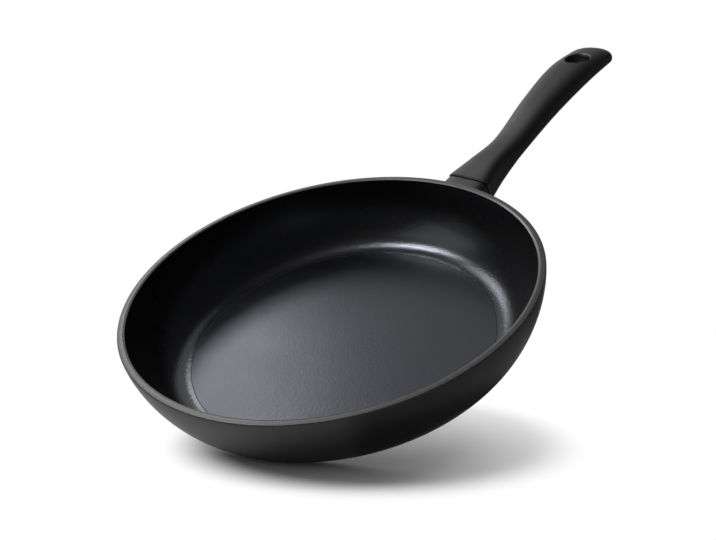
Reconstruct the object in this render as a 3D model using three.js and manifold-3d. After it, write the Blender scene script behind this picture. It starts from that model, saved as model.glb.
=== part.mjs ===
// Round non-stick frying pan with a long moulded handle.
// Millimetres, +Z up. Origin: centre of the underside, on the surface the pan stands on.
// +X: along the handle.
import * as THREE from 'three';
import { mergeVertices, toCreasedNormals } from 'three/addons/utils/BufferGeometryUtils.js';
import Module from 'manifold-3d';

const wasm = await Module();
wasm.setup();

// Fits shared by all pieces
const SEAT_GAP = 0.3;
const WELD_TOLERANCE = 1e-4;
const CREASE_ANGLE = THREE.MathUtils.degToRad(30);

// Pan body
const RIM_RADIUS = 140;
const PAN_HEIGHT = 54;
const BASE_RADIUS = 107;
const FLOOR_INSET = 1.5;
const FLOOR_THICKNESS = 4.6;
const RIM_FLAT = 2.6;
const RIM_ROUND = 0.7;
const RIM_BEVEL_WIDTH = 1.5;
const RIM_BEVEL_HEIGHT = 2;
const OUTER_WALL_POWER = 1.7;
const INNER_WALL_POWER = 2;
const BODY_SEGMENTS = 80;
const WALL_STEPS = 11;
const ROUND_STEPS = 3;

// Induction disc, pressed flush into the underside
const DISC_RADIUS = 86;
const DISC_THICKNESS = 1.2;
const DISC_SEGMENTS = 72;
const PERFORATION_RADIUS = 2.3;
const PERFORATION_RINGS = 4;
const PERFORATION_FIRST_RING = 22;
const PERFORATION_RING_STEP = 18;
const PERFORATION_PITCH = 18;
const PERFORATION_SEGMENTS = 4;

// Handle axis: it leaves the wall rising, and the handle's front end is cut square to it
const NECK_REACH = 15;
const AXIS_DROP = 11.7;
const HANDLE_RISE = THREE.MathUtils.degToRad(13.2);

// Handle, as sections square to the axis. A lift is how far a section's centre lies above the axis.
const HANDLE_LENGTH = 196;
const SEAM_WIDTH = 38;
const SEAM_THICKNESS = 21;
const SEAM_LIFT = 0.5;
const NECK_AT = 24;
const NECK_WIDTH = 29;
const NECK_THICKNESS = 21;
const NECK_LIFT = -0.5;
const WAIST_AT = 55;
const WAIST_WIDTH = 27;
const WAIST_THICKNESS = 16.5;
const WAIST_LIFT = -1.5;
const PALM_WIDTH = 32;
const PALM_THICKNESS = 18.5;
const PALM_LIFT = 1.9;
const GRIP_FROM_TIP = 45;
const GRIP_WIDTH = 38.2;
const GRIP_THICKNESS = 17.6;
const GRIP_LIFT = 0.9;
const TIP_WIDTH = 37;
const TIP_THICKNESS = 12.5;
const TIP_LIFT = -7.5;
const TIP_ROUND = 13;
const TIP_POWER = 3;
const TIP_LEAST_THICKNESS = 0.6;
const SEAM_POWER = 4.8;
const GRIP_POWER = 2.7;
const POWER_FADE = 59;
const SEAM_EDGE = 0.8;
const HANDLE_SIDES = 36;
const HANDLE_RINGS = 30;
const TIP_RINGS = 7;
const TIP_LAST_GAP = 0.5;

// Hanging hole near the handle's end, in a shallow dish on both faces
const HOLE_RADIUS = 9.7;
const HOLE_FROM_TIP = 31;
const DISH_RADIUS = 13.2;
const DISH_DEPTH = 1.5;
const HOLE_SEGMENTS = 32;

// Stud welded to the wall, with its boss in the handle's socket
const BOSS_WIDTH = 15;
const BOSS_HEIGHT = 11;
const BOSS_REACH = 20;
const FOOT_THICKNESS = 3;
const FOOT_CLEARANCE = 1;
const SOCKET_ROOM = 1;
const SEAT_WEB = 12;

// Screw and washers that draw the handle onto the stud
const SCREW_RADIUS = 2.5;
const SCREW_HEAD_RADIUS = 4.25;
const SCREW_HEAD_HEIGHT = 3.4;
const SCREW_ENGAGEMENT = 14;
const SCREW_TIP_ROOM = 1.5;
const SCREW_RECESS_WIDTH = 1.2;
const SCREW_RECESS_DEPTH = 2;
const WASHER_RADIUS = 4.5;
const FLAT_WASHER_THICKNESS = 1;
const SPRING_WASHER_THICKNESS = 1.2;
const SPRING_WASHER_SLIT = 1.4;
const CHANNEL_ROOM = 0.4;
const ROUND_SEGMENTS = 20;
const STADIUM_SEGMENTS = 8;

// Flame guard, a hollow sleeve from the wall to the handle
const GUARD_INSET = 1;
const GUARD_WALL = 2;
const GUARD_END = 2;
const GUARD_FLARE = 0.12;
const GUARD_RINGS = 5;

// Sizes that follow from the ones above
const FLOOR_RADIUS = BASE_RADIUS - FLOOR_INSET;
const RIM_INSIDE = RIM_RADIUS - RIM_ROUND - RIM_FLAT - RIM_BEVEL_WIDTH;
const PALM_AT = (WAIST_AT + HANDLE_LENGTH - GRIP_FROM_TIP) / 2;
const HOLE_AT = HANDLE_LENGTH - HOLE_FROM_TIP;
const SOCKET_DEPTH = BOSS_REACH + SOCKET_ROOM;
const SCREW_SEAT = SOCKET_DEPTH + SEAT_WEB;
const FLAT_WASHER_AT = SCREW_SEAT + SEAT_GAP;
const SPRING_WASHER_AT = FLAT_WASHER_AT + FLAT_WASHER_THICKNESS + SEAT_GAP;
const SCREW_HEAD_AT = SPRING_WASHER_AT + SPRING_WASHER_THICKNESS + SEAT_GAP;
const SCREW_TIP_AT = BOSS_REACH - SCREW_ENGAGEMENT;
const SCREW_HOLE_RADIUS = SCREW_RADIUS + SEAT_GAP;
const CHANNEL_RADIUS = WASHER_RADIUS + CHANNEL_ROOM;
const GUARD_END_AT = -SEAT_GAP;
const GUARD_WIDTH = SEAM_WIDTH - 2 * GUARD_INSET;
const GUARD_THICKNESS = SEAM_THICKNESS - 2 * GUARD_INSET;
const FOOT_WIDTH = GUARD_WIDTH - 2 * (GUARD_WALL + FOOT_CLEARANCE);
const FOOT_HEIGHT = GUARD_THICKNESS - 2 * (GUARD_WALL + FOOT_CLEARANCE);
// The sleeve and the stud are first made this far in from the seam, past the wall that then trims them
const WALL_OVERRUN = 3 * NECK_REACH;
// Cutters run this far past the faces that they open
const CUT_PAST = 5;

// The handle, its guard and its fastening share one frame: origin on the seam, +X along the axis
const handleFrame = new THREE.Group();
handleFrame.position.set(RIM_RADIUS + NECK_REACH, 0, PAN_HEIGHT - AXIS_DROP);
handleFrame.rotation.y = -HANDLE_RISE;
handleFrame.updateMatrix();

const coating = new THREE.MeshStandardMaterial({ color: 0x17181b, roughness: 0.45, metalness: 0.2 });
const phenolic = new THREE.MeshStandardMaterial({ color: 0x1d1d1e, roughness: 0.5, metalness: 0 });
const guardLacquer = new THREE.MeshStandardMaterial({ color: 0x1b1b1c, roughness: 0.5, metalness: 0.2 });
const bareAluminium = new THREE.MeshStandardMaterial({ color: 0xb5b8bb, roughness: 0.4, metalness: 1 });
const steel = new THREE.MeshStandardMaterial({ color: 0xa4a6a8, roughness: 0.35, metalness: 1 });

/** A closed geometry as a solid: vertices merged, flat triangles dropped, faces outward. */
function solid(geometry) {
  const bare = geometry.index ? geometry.toNonIndexed() : geometry.clone();
  bare.deleteAttribute('normal');
  bare.deleteAttribute('uv');
  const merged = mergeVertices(bare, WELD_TOLERANCE);
  const position = merged.attributes.position;
  const corners = [0, 1, 2].map(() => new THREE.Vector3());
  const kept = [];
  let volume = 0;
  for (let i = 0; i < merged.index.count; i += 3) {
    const triangle = [0, 1, 2].map((k) => merged.index.getX(i + k));
    if (new Set(triangle).size < 3) continue;
    corners.forEach((corner, k) => corner.fromBufferAttribute(position, triangle[k]));
    volume += corners[0].dot(corners[1].clone().cross(corners[2]));
    kept.push(triangle);
  }
  const triVerts = new Uint32Array(kept.flatMap((t) => (volume < 0 ? [t[0], t[2], t[1]] : t)));
  const vertProperties = new Float32Array(position.array);
  return new wasm.Manifold(new wasm.Mesh({ numProp: 3, vertProperties, triVerts }));
}

/** A named mesh made from a solid. */
function piece(name, body, material) {
  const { vertProperties, triVerts } = body.getMesh();
  const geometry = new THREE.BufferGeometry();
  geometry.setAttribute('position', new THREE.BufferAttribute(vertProperties, 3));
  geometry.setIndex(new THREE.BufferAttribute(triVerts, 1));
  const mesh = new THREE.Mesh(toCreasedNormals(geometry, CREASE_ANGLE), material);
  mesh.name = name;
  return mesh;
}

/** A profile of [radius, height] points turned about Z. */
function turned(profile, segments) {
  const points = profile.map(([r, z]) => new THREE.Vector2(r, z));
  return new THREE.LatheGeometry(points, segments).rotateX(Math.PI / 2);
}

/** A quarter of a superellipse from one [radius, height] point to another: flat at first, upright at last. */
function sweptWall(from, to, power, steps) {
  return Array.from({ length: steps + 1 }, (_, i) => {
    const angle = (i / steps) * (Math.PI / 2);
    const across = Math.sin(angle) ** (2 / power);
    const up = 1 - Math.cos(angle) ** (2 / power);
    return [from[0] + (to[0] - from[0]) * across, from[1] + (to[1] - from[1]) * up];
  });
}

/** The pan's outer side from the underside to the rim, grown by an offset. */
function outerSide(offset = 0) {
  const foot = [BASE_RADIUS + offset, -offset];
  const shoulder = [RIM_RADIUS + offset, PAN_HEIGHT - RIM_ROUND];
  return sweptWall(foot, shoulder, OUTER_WALL_POWER, WALL_STEPS);
}

/** The space that the pan fills, grown by an offset and carried up past the rim, in the handle's frame. */
function panEnvelope(offset) {
  const side = outerSide(offset);
  const top = PAN_HEIGHT + SEAM_THICKNESS;
  const profile = [[0, -offset], ...side, [RIM_RADIUS + offset, top], [0, top]];
  return solid(turned(profile, BODY_SEGMENTS).applyMatrix4(handleFrame.matrix.clone().invert()));
}

/** A flat outline, with its width along Y and height along Z, carried along X. */
function prism(shape, from, to) {
  const options = { depth: to - from, bevelEnabled: false, curveSegments: STADIUM_SEGMENTS };
  const geometry = new THREE.ExtrudeGeometry(shape, options);
  const toX = new THREE.Matrix4().makeBasis(
    new THREE.Vector3(0, 1, 0), new THREE.Vector3(0, 0, 1), new THREE.Vector3(1, 0, 0));
  return solid(geometry.applyMatrix4(toX).translate(from, 0, 0));
}

/** A round bar along X. */
function bar(radius, from, to) {
  const geometry = new THREE.CylinderGeometry(radius, radius, to - from, ROUND_SEGMENTS);
  return solid(geometry.rotateZ(-Math.PI / 2).translate((from + to) / 2, 0, 0));
}

/** An outline with straight sides and round ends. */
function stadium(width, height) {
  const radius = Math.min(width, height) / 2;
  const run = width / 2 - radius;
  const shape = new THREE.Shape();
  shape.absarc(run, 0, radius, -Math.PI / 2, Math.PI / 2);
  shape.absarc(-run, 0, radius, Math.PI / 2, 1.5 * Math.PI);
  return shape;
}

/** A closed ring of points: a superellipse square to X. */
function superRing({ at, width, thickness, lift, power }) {
  return Array.from({ length: HANDLE_SIDES }, (_, i) => {
    const angle = (i / HANDLE_SIDES) * 2 * Math.PI;
    const along = (v) => Math.sign(v) * Math.abs(v) ** (2 / power);
    return [at, (width / 2) * along(Math.cos(angle)), lift + (thickness / 2) * along(Math.sin(angle))];
  });
}

/** A skin over rings with equal numbers of points, closed at both ends by a fan about the ring's middle. */
function loft(rings) {
  const sides = rings[0].length;
  const middle = (ring) => [0, 1, 2].map((k) => ring.reduce((sum, point) => sum + point[k], 0) / sides);
  const points = [...rings.flat(), middle(rings[0]), middle(rings.at(-1))];
  const first = points.length - 2;
  const index = [];
  for (let i = 0; i < sides; i += 1) {
    const next = (i + 1) % sides;
    for (let r = 0; r + 1 < rings.length; r += 1) {
      const [a, b] = [r * sides + i, r * sides + next];
      index.push(a, b, a + sides, b, b + sides, a + sides);
    }
    const last = (rings.length - 1) * sides;
    index.push(first, next, i, first + 1, last + i, last + next);
  }
  const geometry = new THREE.BufferGeometry();
  geometry.setAttribute('position', new THREE.Float32BufferAttribute(points.flat(), 3));
  geometry.setIndex(index);
  return solid(geometry);
}

/** A smooth curve through [at, value] stations, level where the values turn. */
function through(stations, at) {
  const last = stations.length - 1;
  const slope = (i) => {
    const [before, after] = [stations[Math.max(i - 1, 0)], stations[Math.min(i + 1, last)]];
    return (after[1] - before[1]) / (after[0] - before[0]);
  };
  const i = Math.min(Math.max(stations.findIndex((s) => s[0] > at) - 1, 0), last - 1);
  const k = at >= stations[last][0] ? last - 1 : i;
  const [[x0, y0], [x1, y1]] = [stations[k], stations[k + 1]];
  const span = x1 - x0;
  const t = (at - x0) / span;
  const rise = slope(k) * span * t * (1 - t) ** 2 - slope(k + 1) * span * t ** 2 * (1 - t);
  return y0 + (y1 - y0) * t * t * (3 - 2 * t) + rise;
}

const STATIONS = [0, NECK_AT, WAIST_AT, PALM_AT, HANDLE_LENGTH - GRIP_FROM_TIP, HANDLE_LENGTH];
const WIDTHS = [SEAM_WIDTH, NECK_WIDTH, WAIST_WIDTH, PALM_WIDTH, GRIP_WIDTH, TIP_WIDTH];
const THICKNESSES = [
  SEAM_THICKNESS, NECK_THICKNESS, WAIST_THICKNESS, PALM_THICKNESS, GRIP_THICKNESS, TIP_THICKNESS,
];
const LIFTS = [SEAM_LIFT, NECK_LIFT, WAIST_LIFT, PALM_LIFT, GRIP_LIFT, TIP_LIFT];

/** The handle's section at a distance from the seam, before its end is rounded. */
function handleSection(at) {
  const value = (values) => through(STATIONS.map((station, i) => [station, values[i]]), at);
  const fade = THREE.MathUtils.smoothstep(at, 0, POWER_FADE);
  return {
    at,
    width: value(WIDTHS),
    thickness: value(THICKNESSES),
    lift: value(LIFTS),
    power: SEAM_POWER + (GRIP_POWER - SEAM_POWER) * fade,
  };
}

/** Height of the handle's upper or lower surface on its middle line. */
function handleFace(at, side) {
  const { thickness, lift } = handleSection(at);
  return lift + (side * thickness) / 2;
}

/** The handle's outer form: a loft with an eased edge at the seam and a rounded far end. */
function handleForm() {
  const seam = handleSection(0);
  const edge = { ...seam, width: seam.width - 2 * SEAM_EDGE, thickness: seam.thickness - 2 * SEAM_EDGE };
  const rings = [superRing(edge)];
  const straight = HANDLE_LENGTH - TIP_ROUND;
  for (let i = 0; i <= HANDLE_RINGS; i += 1) {
    const at = SEAM_EDGE + ((straight - SEAM_EDGE) * i) / HANDLE_RINGS;
    rings.push(superRing(handleSection(at)));
  }
  for (let i = 1; i <= TIP_RINGS; i += 1) {
    const reach = Math.sin((i / (TIP_RINGS + TIP_LAST_GAP)) * (Math.PI / 2));
    const narrowing = (1 - reach ** TIP_POWER) ** (1 / TIP_POWER);
    const section = handleSection(straight + reach * TIP_ROUND);
    rings.push(superRing({
      ...section,
      width: section.width * narrowing,
      thickness: section.thickness * THREE.MathUtils.lerp(TIP_LEAST_THICKNESS, 1, narrowing),
    }));
  }
  return loft(rings);
}

/** Cutter for the hanging hole: square to the handle's top across it, opening into a dish at each face. */
function hangingHole() {
  const top = handleFace(HOLE_AT, 1);
  const bottom = handleFace(HOLE_AT, -1);
  const profile = [
    [0, bottom - CUT_PAST], [DISH_RADIUS, bottom - CUT_PAST], [DISH_RADIUS, bottom],
    [HOLE_RADIUS, bottom + DISH_DEPTH], [HOLE_RADIUS, top - DISH_DEPTH],
    [DISH_RADIUS, top], [DISH_RADIUS, top + CUT_PAST], [0, top + CUT_PAST],
  ];
  const fall = handleFace(HOLE_AT - HOLE_RADIUS, 1) - handleFace(HOLE_AT + HOLE_RADIUS, 1);
  const tilt = Math.atan2(fall, 2 * HOLE_RADIUS);
  return solid(turned(profile, HOLE_SEGMENTS).rotateY(tilt).translate(HOLE_AT, 0, 0));
}

function panBody() {
  const rimTop = PAN_HEIGHT;
  const rimRound = Array.from({ length: ROUND_STEPS }, (_, i) => {
    const angle = ((i + 1) / ROUND_STEPS) * (Math.PI / 2);
    return [RIM_RADIUS - RIM_ROUND * (1 - Math.cos(angle)), rimTop - RIM_ROUND * (1 - Math.sin(angle))];
  });
  const inside = sweptWall(
    [FLOOR_RADIUS, FLOOR_THICKNESS], [RIM_INSIDE, rimTop - RIM_BEVEL_HEIGHT], INNER_WALL_POWER, WALL_STEPS);
  const recess = DISC_THICKNESS + SEAT_GAP;
  const profile = [
    [0, recess], [DISC_RADIUS + SEAT_GAP, recess], [DISC_RADIUS + SEAT_GAP, 0],
    ...outerSide(), ...rimRound,
    [RIM_RADIUS - RIM_ROUND - RIM_FLAT, rimTop], ...inside.reverse(),
    [0, FLOOR_THICKNESS],
  ];
  return piece('pan_body', solid(turned(profile, BODY_SEGMENTS)), coating);
}

function inductionDisc() {
  const plate = new THREE.Shape().absarc(0, 0, DISC_RADIUS, 0, 2 * Math.PI);
  for (let ring = 0; ring < PERFORATION_RINGS; ring += 1) {
    const radius = PERFORATION_FIRST_RING + ring * PERFORATION_RING_STEP;
    const count = Math.round((2 * Math.PI * radius) / PERFORATION_PITCH);
    for (let i = 0; i < count; i += 1) {
      const angle = (i / count) * 2 * Math.PI;
      const [x, y] = [radius * Math.cos(angle), radius * Math.sin(angle)];
      plate.holes.push(new THREE.Path().absarc(x, y, PERFORATION_RADIUS, 0, 2 * Math.PI, true));
    }
  }
  const points = {
    shape: plate.getSpacedPoints(DISC_SEGMENTS),
    holes: plate.holes.map((hole) => hole.getSpacedPoints(2 * PERFORATION_SEGMENTS)),
  };
  const outline = new THREE.Shape(points.shape);
  outline.holes = points.holes.map((hole) => new THREE.Path(hole));
  const geometry = new THREE.ExtrudeGeometry(outline, { depth: DISC_THICKNESS, bevelEnabled: false });
  return piece('induction_disc', solid(geometry), steel);
}

function handleStud() {
  const boss = prism(stadium(BOSS_WIDTH, BOSS_HEIGHT), -WALL_OVERRUN, BOSS_REACH);
  const foot = prism(stadium(FOOT_WIDTH, FOOT_HEIGHT), -WALL_OVERRUN, GUARD_END_AT - GUARD_END - SEAT_GAP)
    .intersect(panEnvelope(SEAT_GAP + FOOT_THICKNESS));
  const threaded = bar(SCREW_HOLE_RADIUS, SCREW_TIP_AT - SCREW_TIP_ROOM, BOSS_REACH + CUT_PAST);
  const stud = boss.add(foot).subtract(panEnvelope(SEAT_GAP)).subtract(threaded);
  return piece('handle_stud', stud, bareAluminium);
}

/** A sleeve's skin from the seam inwards, widening towards the wall. */
function sleeve(inset, from) {
  const rings = Array.from({ length: GUARD_RINGS }, (_, i) => {
    const at = from + ((-WALL_OVERRUN - from) * i) / (GUARD_RINGS - 1);
    const flare = GUARD_FLARE * (GUARD_END_AT - at);
    return superRing({
      at,
      width: GUARD_WIDTH + flare - 2 * inset,
      thickness: GUARD_THICKNESS + flare - 2 * inset,
      lift: SEAM_LIFT,
      power: SEAM_POWER,
    });
  });
  return loft(rings);
}

function flameGuard() {
  const hollow = sleeve(GUARD_WALL, GUARD_END_AT - GUARD_END);
  const window = stadium(BOSS_WIDTH + 2 * SEAT_GAP, BOSS_HEIGHT + 2 * SEAT_GAP);
  const guard = sleeve(0, GUARD_END_AT)
    .subtract(hollow)
    .subtract(prism(window, -WALL_OVERRUN, CUT_PAST))
    .subtract(panEnvelope(SEAT_GAP));
  return piece('flame_guard', guard, guardLacquer);
}

function handle() {
  const socket = stadium(BOSS_WIDTH + 2 * SEAT_GAP, BOSS_HEIGHT + 2 * SEAT_GAP);
  const form = handleForm()
    .subtract(prism(socket, -CUT_PAST, SOCKET_DEPTH))
    .subtract(bar(SCREW_HOLE_RADIUS, SOCKET_DEPTH - CUT_PAST, SCREW_SEAT + CUT_PAST))
    .subtract(bar(CHANNEL_RADIUS, SCREW_SEAT, HOLE_AT))
    .subtract(hangingHole());
  return piece('handle', form, phenolic);
}

function handleScrew() {
  const headEnd = SCREW_HEAD_AT + SCREW_HEAD_HEIGHT;
  const recessStart = headEnd - SCREW_RECESS_DEPTH;
  const arm = SCREW_HEAD_RADIUS;
  const slot = (across, up) => {
    const box = new THREE.BoxGeometry(2 * SCREW_RECESS_DEPTH, across, up);
    return solid(box.translate(recessStart + SCREW_RECESS_DEPTH, 0, 0));
  };
  const screw = bar(SCREW_RADIUS, SCREW_TIP_AT, SCREW_HEAD_AT + SCREW_HEAD_HEIGHT / 2)
    .add(bar(SCREW_HEAD_RADIUS, SCREW_HEAD_AT, headEnd))
    .subtract(slot(arm, SCREW_RECESS_WIDTH))
    .subtract(slot(SCREW_RECESS_WIDTH, arm));
  return piece('handle_screw', screw, steel);
}

function flatWasher() {
  const to = FLAT_WASHER_AT + FLAT_WASHER_THICKNESS;
  const hole = bar(SCREW_HOLE_RADIUS, FLAT_WASHER_AT - CUT_PAST, to + CUT_PAST);
  return piece('flat_washer', bar(WASHER_RADIUS, FLAT_WASHER_AT, to).subtract(hole), steel);
}

function springWasher() {
  const to = SPRING_WASHER_AT + SPRING_WASHER_THICKNESS;
  const hole = bar(SCREW_HOLE_RADIUS, SPRING_WASHER_AT - CUT_PAST, to + CUT_PAST);
  const slit = solid(new THREE.BoxGeometry(2 * CUT_PAST, SPRING_WASHER_SLIT, 2 * WASHER_RADIUS)
    .translate(SPRING_WASHER_AT, 0, WASHER_RADIUS));
  const washer = bar(WASHER_RADIUS, SPRING_WASHER_AT, to).subtract(hole).subtract(slit);
  return piece('spring_washer', washer, steel);
}

handleFrame.add(handleStud(), flameGuard(), handle(), handleScrew(), flatWasher(), springWasher());

const fryingPan = new THREE.Group();
fryingPan.add(panBody(), inductionDisc(), handleFrame);

export default fryingPan;
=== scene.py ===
"""Looks of a round non-stick frying pan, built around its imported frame.

Metres, +Z up. The pan stands on z = 0 and its handle points along +X. Headings of lamps and
cards are in degrees, in the photograph's frame.
"""

import logging
import math
from collections.abc import Callable, Iterable
from dataclasses import dataclass, replace
from enum import Enum

import bmesh
import bpy
from bmesh.types import BMesh, BMFace
from bpy.types import ID, Material, Node, NodeSocket, NodeTree, Object
from mathutils import Matrix, Vector


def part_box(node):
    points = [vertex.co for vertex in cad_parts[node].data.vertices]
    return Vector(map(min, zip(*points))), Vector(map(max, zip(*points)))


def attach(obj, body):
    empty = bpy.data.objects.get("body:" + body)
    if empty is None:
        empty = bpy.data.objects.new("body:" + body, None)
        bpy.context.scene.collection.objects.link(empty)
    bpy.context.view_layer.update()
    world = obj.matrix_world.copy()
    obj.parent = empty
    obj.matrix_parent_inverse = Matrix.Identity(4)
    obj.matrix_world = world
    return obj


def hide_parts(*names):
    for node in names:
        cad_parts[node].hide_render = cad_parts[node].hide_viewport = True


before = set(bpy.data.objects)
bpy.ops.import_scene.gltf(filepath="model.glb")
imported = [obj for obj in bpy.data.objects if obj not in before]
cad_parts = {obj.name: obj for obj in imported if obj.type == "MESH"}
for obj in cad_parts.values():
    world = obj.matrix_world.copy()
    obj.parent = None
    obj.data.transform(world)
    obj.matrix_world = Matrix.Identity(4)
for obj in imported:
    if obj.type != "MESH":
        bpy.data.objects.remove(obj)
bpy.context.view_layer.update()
LOG = logging.getLogger("frying_pan")

# Lengths in metres, creases in degrees
MM = 0.001
WELD = 1e-6
TINY = 1e-9
SEAT_GAP = 0.3 * MM
TURNED_CREASE = 35.0
MOULDED_CREASE = 40.0
BODY = "root"
Colour = tuple[float, float, float]
Point = tuple[float, float]


class Slot(Enum):
    """The record's material slots of the new pieces."""

    COATING = "coated_aluminium"
    DISC = "disc_steel"
    GUARD = "guard_lacquer"
    PHENOLIC = "phenolic"


class Skin(Enum):
    """Which finish a face of the pan's body has, by its place in the material list."""

    WALL = 0
    FLOOR = 1
    OUTSIDE = 2
    RIM = 3
    STUDS = 4
    BEVEL = 5


class Graph:
    """A node tree, with short calls that add and join nodes."""

    # Places of the colours among a Mix node's sockets
    MIX_INPUTS = (6, 7)
    MIX_RESULT = 2

    def __init__(self, tree: NodeTree) -> None:
        """Empties the tree that is to be filled."""
        tree.nodes.clear()
        self.tree = tree

    def add(self, kind: str, **settings: object) -> Node:
        """Adds a node.

        Args:
            kind: The node's type name, without its ShaderNode prefix.
            settings: Properties of the node, by name.

        Returns:
            The node.
        """
        node = self.tree.nodes.new("ShaderNode" + kind)
        for name, value in settings.items():
            setattr(node, name, value)
        return node

    def join(self, source: NodeSocket, target: NodeSocket) -> None:
        """Links an output to an input."""
        self.tree.links.new(source, target)

    def math(self, operation: str, first: NodeSocket, second: NodeSocket) -> NodeSocket:
        """Adds a Math node.

        Args:
            operation: The node's operation.
            first: Its first term.
            second: Its second term.

        Returns:
            The result's socket.
        """
        node = self.add("Math", operation=operation)
        self.join(first, node.inputs[0])
        self.join(second, node.inputs[1])
        return node.outputs[0]

    def between(self, value: NodeSocket, low: float, high: float, *, start: float = 0.0,
                stop: float = 1.0, smooth: bool = False) -> NodeSocket:
        """Maps a value to a range.

        Args:
            value: The socket that is mapped.
            low: The result at start.
            high: The result at stop.
            start: Where the value's range starts.
            stop: Where it stops.
            smooth: True eases both ends.

        Returns:
            The result's socket.
        """
        node = self.add("MapRange", interpolation_type="SMOOTHSTEP" if smooth else "LINEAR")
        self.join(value, node.inputs["Value"])
        for name, number in (("From Min", start), ("From Max", stop), ("To Min", low), ("To Max", high)):
            node.inputs[name].default_value = number
        return node.outputs["Result"]

    def tint(self, mask: NodeSocket, first: Colour, second: Colour) -> NodeSocket:
        """Mixes two colours by a mask.

        Args:
            mask: 0 shows the first, 1 the second.
            first: A colour.
            second: Another.

        Returns:
            The colour's socket.
        """
        node = self.add("Mix", data_type="RGBA")
        self.join(mask, node.inputs["Factor"])
        for place, colour in zip(self.MIX_INPUTS, (first, second)):
            node.inputs[place].default_value = (*colour, 1.0)
        return node.outputs[self.MIX_RESULT]


class GroupGraph(Graph):
    """The node tree of a new shader group with float sockets."""

    def __init__(self, name: str, inputs: Iterable[str], outputs: Iterable[str]) -> None:
        """Makes the group and its sockets.

        Args:
            name: The group's name.
            inputs: Names of its inputs.
            outputs: Names of its outputs.
        """
        super().__init__(bpy.data.node_groups.new(name, "ShaderNodeTree"))
        for way, sockets in (("INPUT", inputs), ("OUTPUT", outputs)):
            for socket in sockets:
                self.tree.interface.new_socket(socket, in_out=way, socket_type="NodeSocketFloat")
        self.given = self.tree.nodes.new("NodeGroupInput").outputs
        self.result = self.tree.nodes.new("NodeGroupOutput").inputs


class Effects:
    """Effects that several finishes share, each a node group."""

    GRAIN_DETAIL = 2.0
    MARKS_DETAIL = 5.0
    MARKS_DISTORTION = 0.6
    MARKS_RANGE = (0.3, 0.7)
    RINGS_DETAIL = 3.0

    def __init__(self) -> None:
        """Builds the groups."""
        self.grain = self._grain()
        self.handling = self._handling()
        self.turning = self._turning()

    def _grain(self) -> NodeTree:
        """Fine relief of a sprayed or moulded skin, and flecks scattered in it.

        Returns:
            The group.
        """
        graph = GroupGraph("fine_grain", ("Scale", "Fleck Share"), ("Height", "Fleck"))
        place = graph.add("TexCoord").outputs["Object"]
        noise = graph.add("TexNoise")
        noise.inputs["Detail"].default_value = self.GRAIN_DETAIL
        cells = graph.add("TexVoronoi", feature="F1")
        for texture in (noise, cells):
            graph.join(place, texture.inputs["Vector"])
            graph.join(graph.given["Scale"], texture.inputs["Scale"])
        pick = graph.add("SeparateColor")
        graph.join(cells.outputs["Color"], pick.inputs[0])
        fleck = graph.math("LESS_THAN", pick.outputs[0], graph.given["Fleck Share"])
        graph.join(noise.outputs[0], graph.result["Height"])
        graph.join(fleck, graph.result["Fleck"])
        return graph.tree

    def _handling(self) -> NodeTree:
        """Broad, faint marks of handling.

        Returns:
            The group.
        """
        graph = GroupGraph("handling_marks", ("Scale",), ("Marks",))
        noise = graph.add("TexNoise")
        noise.inputs["Detail"].default_value = self.MARKS_DETAIL
        noise.inputs["Distortion"].default_value = self.MARKS_DISTORTION
        graph.join(graph.add("TexCoord").outputs["Object"], noise.inputs["Vector"])
        graph.join(graph.given["Scale"], noise.inputs["Scale"])
        start, stop = self.MARKS_RANGE
        marks = graph.between(noise.outputs[0], 0.0, 1.0, start=start, stop=stop)
        graph.join(marks, graph.result["Marks"])
        return graph.tree

    def _turning(self) -> NodeTree:
        """Rings left by a lathe, about the pan's axis.

        Returns:
            The group.
        """
        graph = GroupGraph("turning_rings", ("Rings Per Metre",), ("Height",))
        flat = graph.add("VectorMath", operation="MULTIPLY")
        flat.inputs[1].default_value = (1.0, 1.0, 0.0)
        graph.join(graph.add("TexCoord").outputs["Object"], flat.inputs[0])
        radius = graph.add("VectorMath", operation="LENGTH")
        graph.join(flat.outputs[0], radius.inputs[0])
        turns = graph.math("MULTIPLY", radius.outputs["Value"], graph.given["Rings Per Metre"])
        rings = graph.add("TexNoise", noise_dimensions="1D")
        rings.inputs["Scale"].default_value = 1.0
        rings.inputs["Detail"].default_value = self.RINGS_DETAIL
        graph.join(turns, rings.inputs["W"])
        graph.join(rings.outputs[0], graph.result["Height"])
        return graph.tree


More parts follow.
